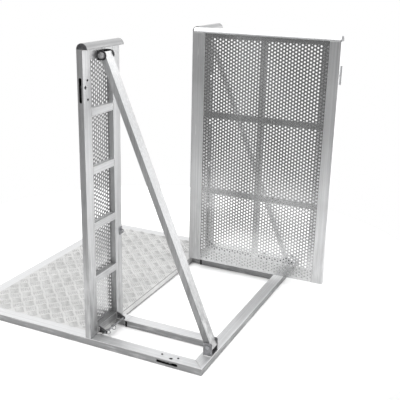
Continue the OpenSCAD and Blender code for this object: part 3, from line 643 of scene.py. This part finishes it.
def weld_metal(name, tone):
    """Weld beads: frosty bright metal with soot in the valleys."""
    material, tree, shader = new_material(name)
    frost = noise(tree, scale=420.0, detail=3.0)
    soot = noise(tree, scale=60.0, detail=3.0)
    body = mixed(tree, spread(tree, frost, NOISE, (0.0, 1.0)), shade(tone, 0.86), shade(tone, 1.1))
    dark = mixed(tree, spread(tree, soot, (0.55, 0.75), (0.0, 0.7)), body, shade(tone, 0.5))
    tree.links.new(dark, shader.inputs["Base Color"])
    tree.links.new(spread(tree, frost, NOISE, (0.35, 0.6)), shader.inputs["Roughness"])
    shader.inputs["Metallic"].default_value = 0.9
    bumped(tree, shader, frost, strength=0.2, distance=0.0003)
    return material


def shaded_strip(name, tone):
    """Flat bar left as rolled: matt, with clouds and fine upright scratches; its dark grey is painted shade
    from the sheet in front, and it turns pale low down as painted light.
    """
    material, tree, shader = new_material(name)
    low = spread(tree, position(tree)["Z"], STRIP_LIT, (1.0, 0.0))
    cloud = noise(tree, scale=12.0, detail=4.0, rough=0.6)
    scratch = noise(tree, detail=3.0, stretch=(240.0, 240.0, 3.0))
    body = mixed(tree, spread(tree, cloud, NOISE, (0.0, 1.0)), shade(tone, 0.8), shade(tone, 1.2))
    marked = mixed(tree, spread(tree, scratch, (0.6, 0.75), (0.0, 0.5)), body, shade(tone, 1.7))
    # Pale low down: painted light
    lit_low = mixed(tree, low, marked, shade(tone, 2.4))
    tree.links.new(lit_low, shader.inputs["Base Color"])
    tree.links.new(spread(tree, cloud, NOISE, (0.55, 0.75)), shader.inputs["Roughness"])
    shader.inputs["Metallic"].default_value = 0.3
    bumped(tree, shader, scratch, strength=0.1, distance=0.0002)
    return material


def zinc_steel(name, tone):
    """Zinc plated fittings: mottled grey crystals, dark soiled patches and rubbed bright spots."""
    material, tree, shader = new_material(name)
    place = tree.nodes.new("ShaderNodeTexCoord")
    crystal = tree.nodes.new("ShaderNodeTexVoronoi")
    crystal.inputs["Scale"].default_value = 320.0
    tree.links.new(place.outputs["Object"], crystal.inputs["Vector"])
    darkening = noise(tree, scale=55.0, detail=4.0, rough=0.6)
    rubbed = noise(tree, scale=130.0, detail=2.0)
    depth = spread(tree, crystal.outputs["Distance"], (0.0, 0.8), (0, 1))
    body = mixed(tree, depth, shade(tone, 1.12), shade(tone, 0.8))
    darkened = mixed(tree, spread(tree, darkening, (0.42, 0.68), (0.0, 0.8)), body, shade(tone, 0.35))
    bright = mixed(tree, spread(tree, rubbed, (0.62, 0.72), (0.0, 0.7)), darkened, shade(tone, 1.9))
    tree.links.new(bright, shader.inputs["Base Color"])
    tree.links.new(spread(tree, darkening, (0.35, 0.7), (0.32, 0.6)), shader.inputs["Roughness"])
    shader.inputs["Metallic"].default_value = 0.9
    bumped(tree, shader, rubbed, strength=0.15, distance=0.0003)
    return material


def moulded_plastic(name, tone):
    """Black moulded plastic: fine grain, greyish dust and rubbed patches."""
    material, tree, shader = new_material(name)
    grain = noise(tree, scale=900.0, detail=2.0)
    dust = noise(tree, scale=38.0, detail=4.0, rough=0.6)
    body = mixed(tree, spread(tree, grain, NOISE, (0, 1)), shade(tone, 0.7), shade(tone, 1.5))
    dusty = mixed(tree, spread(tree, dust, (0.55, 0.85), (0.0, 0.4)), body, shade(tone, 4.0))
    tree.links.new(dusty, shader.inputs["Base Color"])
    tree.links.new(spread(tree, dust, NOISE, (0.42, 0.68)), shader.inputs["Roughness"])
    shader.inputs["Specular IOR Level"].default_value = 0.1
    bumped(tree, shader, grain, strength=0.25, distance=0.0002)
    return material


def finish_of(node):
    """Name of the material that a CAD node gets."""
    by_name = {
        "gate_strips": "backing strip",
        # Lighter copy of the post finish for the left brace: painted light
        "brace_left": "weathered brace",
        "upper_hook": "hook steel",
        "base_hook": "hook steel",
        "gate_rails": "rib along y",
        "gate_centre_rib": "rib along z",
    }
    if node in by_name:
        return by_name[node]
    by_word = {
        "pivot": "bright zinc",
        "case": "black steel",
        "bracket": "dark steel",
        "gussets": "foot steel",
        "lugs": "worn steel",
    }
    for word, finish in by_word.items():
        if word in node:
            return finish
    kind = KIND.get(NODE_BODY[node], "leaf")
    # The side panels' caps get a darker copy: painted shade
    if "top_cap" in node and kind == "post":
        return "dull cap"
    for group, axis in ((TUBES_X, "x"), (TUBES_Y, "y"), (TUBES_Z, "z"), (BRACES, "the brace")):
        if node in group:
            return f"{kind} along {axis}"
    by_slot = {
        "frame_aluminium": f"{kind} along x",
        "sheet_aluminium": "gate sheet" if kind == "leaf" else "panel sheet",
        "tread_aluminium": "tread plate",
        "zinc_steel": "zinc plated steel",
        "black_plastic": "black plastic",
    }
    return by_slot[NODE_SLOT[node]]


# Operators


class BARRIER_OT_finishes(bpy.types.Operator):
    """Make the materials and put them on the pieces of the frame"""

    bl_idname = "barrier.finishes"
    bl_label = "Finishes"

    def execute(self, context):
        tone = context.scene.barrier_colours
        # Each kind gets its own soiling and painted shade towards the bottom
        for kind, darkening in SHADE_AND_GRIME.items():
            for grain, axis in ((X, "x"), (Y, "y"), (Z, "z")):
                drawn_aluminium(f"{kind} along {axis}", getattr(tone, kind), grain, darkening=darkening)
        low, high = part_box("brace_right")
        turn = (-math.atan2(high.y - low.y, high.z - low.z), 0, 0)
        # Painted shade on the right brace's outer face
        front_shade = (high.x, *BRACE_SHADE)
        drawn_aluminium("post along the brace", tone.post, Z, turn, SHADE_AND_GRIME["post"], front_shade=front_shade)
        # Lighter copy of the post finish for the left brace: painted light
        drawn_aluminium("weathered brace", tone.weathered, Z, turn, metal=BRIGHTENED_METAL)
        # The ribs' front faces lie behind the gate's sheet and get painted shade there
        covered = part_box("gate_rails")[1].x
        for grain, axis in ((Y, "y"), (Z, "z")):
            drawn_aluminium(f"rib along {axis}", tone.leaf, grain, darkening=RIB_SHADE_AND_GRIME[axis], covered=covered)
        # Darker copy for the side panels' caps: painted shade
        drawn_aluminium("dull cap", tone.cap, X)
        # The gate's sheet is darker on its front face than on its back: painted shade
        rolled_aluminium("gate sheet", tone.sheet, GATE_SHADE, False)
        rolled_aluminium("panel sheet", tone.sheet, PANEL_SHADE, True)
        trodden_aluminium("tread plate", tone.tread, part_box("tread_plate")[1].y - FOLD_LINE / 2)
        weld_metal("weld metal", tone.weld)
        shaded_strip("backing strip", tone.strip)
        zinc_steel("zinc plated steel", tone.steel)
        zinc_steel("bright zinc", tone.bright)
        zinc_steel("hook steel", tone.hook)
        for look in ("dark", "worn", "foot", "black"):
            zinc_steel(f"{look} steel", getattr(tone, f"{look}_steel"))
        moulded_plastic("black plastic", tone.plastic)
        for node, obj in frame["nodes"].items():
            obj.data.materials.clear()
            obj.data.materials.append(bpy.data.materials[finish_of(node)])
        return {"FINISHED"}


class BARRIER_OT_tubes(bpy.types.Operator):
    """Round the long edges of the tubes"""

    bl_idname = "barrier.tubes"
    bl_label = "Rounded tubes"

    def execute(self, context):
        radius = context.scene.barrier_sizes.edge
        for node in TUBES_X + TUBES_Y + TUBES_Z + BRACES:
            rounded_copy(node, radius, bpy.data.materials[finish_of(node)])
        return {"FINISHED"}


class BARRIER_OT_sheets(bpy.types.Operator):
    """Punch the sheets of the gate and the side panels"""

    bl_idname = "barrier.sheets"
    bl_label = "Punched sheets"

    def execute(self, context):
        size = context.scene.barrier_sizes
        for node in SHEETS:
            low, high = (np.array(v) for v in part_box(node))
            through = int(np.argmin(high - low))
            across = Y if through == X else X
            span = high - low
            points, faces = punched_sheet(
                span[across], span[Z], size.sheet, size.pitch, size.hole, size.hole_edge, size.hole_end
            )
            place = np.empty_like(points)
            place[:, across] = low[across] + points[:, 0]
            place[:, Z] = low[Z] + points[:, 1]
            facing = 1 if through == X else -1
            place[:, through] = (low + high)[through] / 2 + facing * points[:, 2]
            material = bpy.data.materials[finish_of(node)]
            sheet = piece(f"punched_{node}", place, faces, NODE_BODY[node], NODE_SLOT[node], material)
            # Sides of the sheet, which get painted shade where they meet the stiles
            on_side = (points[:, 0] < TOUCH) | (points[:, 0] > span[across] - TOUCH)
            mark(sheet, "border", on_side)
            mark(sheet, "face", points[:, 2] > 0)
            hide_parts(node)
        return {"FINISHED"}


class BARRIER_OT_tread(bpy.types.Operator):
    """Raise groups of five bars on the tread plate"""

    bl_idname = "barrier.tread"
    bl_label = "Tread bars"

    def execute(self, context):
        size = context.scene.barrier_sizes
        low, high = (np.array(v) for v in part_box("tread_plate"))
        high[Y] -= FOLD_LINE
        bar = (size.bar_length, size.bar_width, size.bar_height)
        free_x, free_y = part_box("inner_stile_right")[0].x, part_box("fold_clevises")[0].y
        points, faces = tread_bars(low, high, size.tread_cell, bar, size.bar_gap, free_x, free_y)
        body, slot = NODE_BODY["tread_plate"], NODE_SLOT["tread_plate"]
        bars = piece("tread_bars", points, faces, body, slot, bpy.data.materials["tread plate"], True)
        # Points at the foot of the bars, which get painted shade
        mark(bars, "foot", points[:, Z] < high[Z] + TOUCH)
        return {"FINISHED"}


def base_seams(sunk):
    """Seams of the floor frame: mitres, rail ends and the feet of the lugs."""
    seams = []
    (x0, front, _), (x1, rear, top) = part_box("side_rail_right")
    level = top - sunk
    width = x1 - x0
    rear_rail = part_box("rear_rail")[0].y
    inner_low, inner_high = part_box("inner_rail_right")
    off = MITRE_BACK * sunk
    for k in (1, -1):
        seams.append(((k * (x1 - off), front + off, level), (k * x0, front + width, level)))
        seams.append(((k * (x1 - off), rear - off, level), (k * x0, rear - width, level)))
        seams.append(((k * inner_low.x, rear_rail, level), (k * inner_high.x, rear_rail, level)))
    lug_low, lug_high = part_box("brace_lugs")
    for x_low, x_high in bands("brace_lugs", X):
        for y in (lug_low.y, lug_high.y):
            seams.append(((x_low, y, top), (x_high, y, top)))
        for x in (x_low, x_high):
            seams.append(((x, lug_low.y, top), (x, lug_high.y, top)))
    return seams


def panel_seams(side, sunk):
    """Seams of a side panel: rib ends on the stiles, the cap over the stiles and the gussets at the foot."""
    seams = []
    outer_low, outer_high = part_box(f"outer_stile_{side}")
    inner_low, inner_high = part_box(f"inner_stile_{side}")
    rear = outer_high.y
    meets = (outer_low.x, inner_high.x) if side == "right" else (outer_high.x, inner_low.x)
    for z_low, z_high in bands(f"panel_rails_{side}", Z):
        for x in meets:
            seams.append(((x, rear - sunk, z_low), (x, rear - sunk, z_high)))
    for low, high in ((outer_low, outer_high), (inner_low, inner_high)):
        seams.append(((low.x, rear, high.z), (high.x, rear, high.z)))
    gusset_low, gusset_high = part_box(f"foot_gussets_{side}")
    for x in (gusset_low.x, gusset_high.x):
        seams.append(((x, rear, gusset_low.z + GUSSET_END), (x, rear, gusset_high.z - GUSSET_END)))
    return seams


def gate_seams(sunk):
    """Seams at the back of the gate: rail ends on the stiles."""
    low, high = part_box("gate_hinge_stile")
    back = low.x + sunk
    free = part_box("gate_free_stile")[0]
    ends = (high.y, free.y)
    levels = bands("gate_rails", Z)
    return [((back, y, z_low), (back, y, z_high)) for z_low, z_high in levels for y in ends]


class BARRIER_OT_welds(bpy.types.Operator):
    """Lay weld beads along the seams of the base, the side panels and the gate"""

    bl_idname = "barrier.welds"
    bl_label = "Weld beads"

    def execute(self, context):
        size = context.scene.barrier_sizes
        sunk = WELD_SUNK * size.weld
        seams = {
            "base": base_seams(sunk),
            "panel_right": panel_seams("right", sunk),
            "panel_left": panel_seams("left", sunk),
            "gate": gate_seams(sunk),
        }
        for body, lines in seams.items():
            beads = [weld_bead(a, b, size.weld, size.weld_ripple) for a, b in lines]
            material = bpy.data.materials["weld metal"]
            piece(f"welds_{body}", *joined(beads), body, "frame_aluminium", material, True)
        return {"FINISHED"}


class BARRIER_OT_stage(bpy.types.Operator):
    """Set the floor, the surroundings, the soft light and the camera"""

    bl_idname = "barrier.stage"
    bl_label = "Stage"

    def execute(self, context):
        scene = context.scene
        self.floor(scene)
        self.surroundings(scene)
        self.light(scene)
        self.camera(scene)
        scene.view_settings.view_transform = "Standard"
        return {"FINISHED"}

    def floor(self, scene):
        """Plain pale floor: a flat disc just under the rails, its points at even angles round the centre."""
        rim = FLOOR_CENTRE + FLOOR_RADIUS * np.insert(circle(FLOOR_SIDES), Z, 0.0, axis=1)
        mesh = bpy.data.meshes.new("floor")
        mesh.from_pydata(rim.tolist(), [], [tuple(range(FLOOR_SIDES))])
        floor = bpy.data.objects.new("floor", mesh)
        scene.collection.objects.link(floor)
        material, tree, shader = new_material("floor")
        cloud = noise(tree, scale=2.0, detail=3.0)
        tone = scene.barrier_colours.floor
        tree.links.new(mixed(tree, cloud, tone, shade(tone, 0.97)), shader.inputs["Base Color"])
        shader.inputs["Roughness"].default_value = 0.9
        shader.inputs["Specular IOR Level"].default_value = 0.0
        mesh.materials.append(material)

    def along(self, tree, place, direction):
        """Distance of a place along a direction."""
        node = tree.nodes.new("ShaderNodeVectorMath")
        node.operation = "DOT_PRODUCT"
        node.inputs[1].default_value = direction
        tree.links.new(place, node.inputs[0])
        return node.outputs["Value"]

    def surroundings(self, scene):
        """White surroundings, brightest low down behind the object, that fall to grey on one side."""
        world = bpy.data.worlds.new("studio")
        world.use_nodes = True
        tree = world.node_tree
        place = tree.nodes.new("ShaderNodeTexCoord").outputs["Generated"]
        ahead = self.along(tree, place, GREY_SIDE)
        low = spread(tree, self.along(tree, place, UPWARDS), GLOW_HEIGHT, (1.0, 0.0))
        glow = combined(tree, "MULTIPLY", low, spread(tree, ahead, GLOW_FADE, (1.0, 0.0)))
        front = spread(tree, ahead, GREY_TURN, (1.0, GREY))
        level = combined(tree, "ADD", glow, front)
        tree.links.new(level, tree.nodes["Background"].inputs["Strength"])
        tree.nodes["Background"].inputs["Color"].default_value = (1.0, 1.0, 1.0, 1.0)
        scene.world = world

    def light(self, scene):
        """One very wide soft sun from overhead."""
        data = bpy.data.lights.new("soft sun", "SUN")
        data.energy = SUN_ENERGY
        data.angle = SUN_ANGLE
        lamp = bpy.data.objects.new("soft sun", data)
        lamp.rotation_euler = Vector(SUN_DIRECTION).to_track_quat("-Z", "Y").to_euler()
        scene.collection.objects.link(lamp)

    def camera(self, scene):
        """Camera at the photograph's place: yaw about Z, pitch down, then a small roll."""
        level = Vector((-math.cos(CAMERA_YAW), -math.sin(CAMERA_YAW), 0.0))
        ahead = math.cos(CAMERA_PITCH) * level - Vector((0.0, 0.0, math.sin(CAMERA_PITCH)))
        side = Vector((-math.sin(CAMERA_YAW), math.cos(CAMERA_YAW), 0.0))
        above = side.cross(ahead)
        right = math.cos(CAMERA_ROLL) * side + math.sin(CAMERA_ROLL) * above
        up = math.cos(CAMERA_ROLL) * above - math.sin(CAMERA_ROLL) * side
        data = bpy.data.cameras.new("camera")
        data.sensor_width = CAMERA_SENSOR
        data.lens = CAMERA_LENS
        camera = bpy.data.objects.new("camera", data)
        scene.collection.objects.link(camera)
        turn = Matrix((right, up, -ahead)).transposed().to_4x4()
        camera.matrix_world = Matrix.Translation(CAMERA_PLACE) @ turn
        scene.camera = camera


class BARRIER_PT_panel(bpy.types.Panel):
    """Sidebar panel with the settings and the steps"""

    bl_idname = "BARRIER_PT_panel"
    bl_label = "Stage barrier"
    bl_space_type = "VIEW_3D"
    bl_region_type = "UI"
    bl_category = "Barrier"

    def draw(self, context):
        for group in (context.scene.barrier_sizes, context.scene.barrier_colours):
            box = self.layout.box()
            for name in group.__annotations__:
                box.prop(group, name)
        for step in STEPS:
            self.layout.operator(step.bl_idname)


STEPS = (
    BARRIER_OT_finishes,
    BARRIER_OT_tubes,
    BARRIER_OT_sheets,
    BARRIER_OT_tread,
    BARRIER_OT_welds,
    BARRIER_OT_stage,
)
CLASSES = (BarrierSizes, BarrierColours, *STEPS, BARRIER_PT_panel)


def register():
    for cls in CLASSES:
        bpy.utils.register_class(cls)
    bpy.types.Scene.barrier_sizes = bpy.props.PointerProperty(type=BarrierSizes)
    bpy.types.Scene.barrier_colours = bpy.props.PointerProperty(type=BarrierColours)


def unregister():
    del bpy.types.Scene.barrier_colours
    del bpy.types.Scene.barrier_sizes
    for cls in reversed(CLASSES):
        bpy.utils.unregister_class(cls)


def main():
    register()
    for step in STEPS:
        group, name = step.bl_idname.split(".")
        getattr(getattr(bpy.ops, group), name)()


if __name__ == "__main__":
    main()
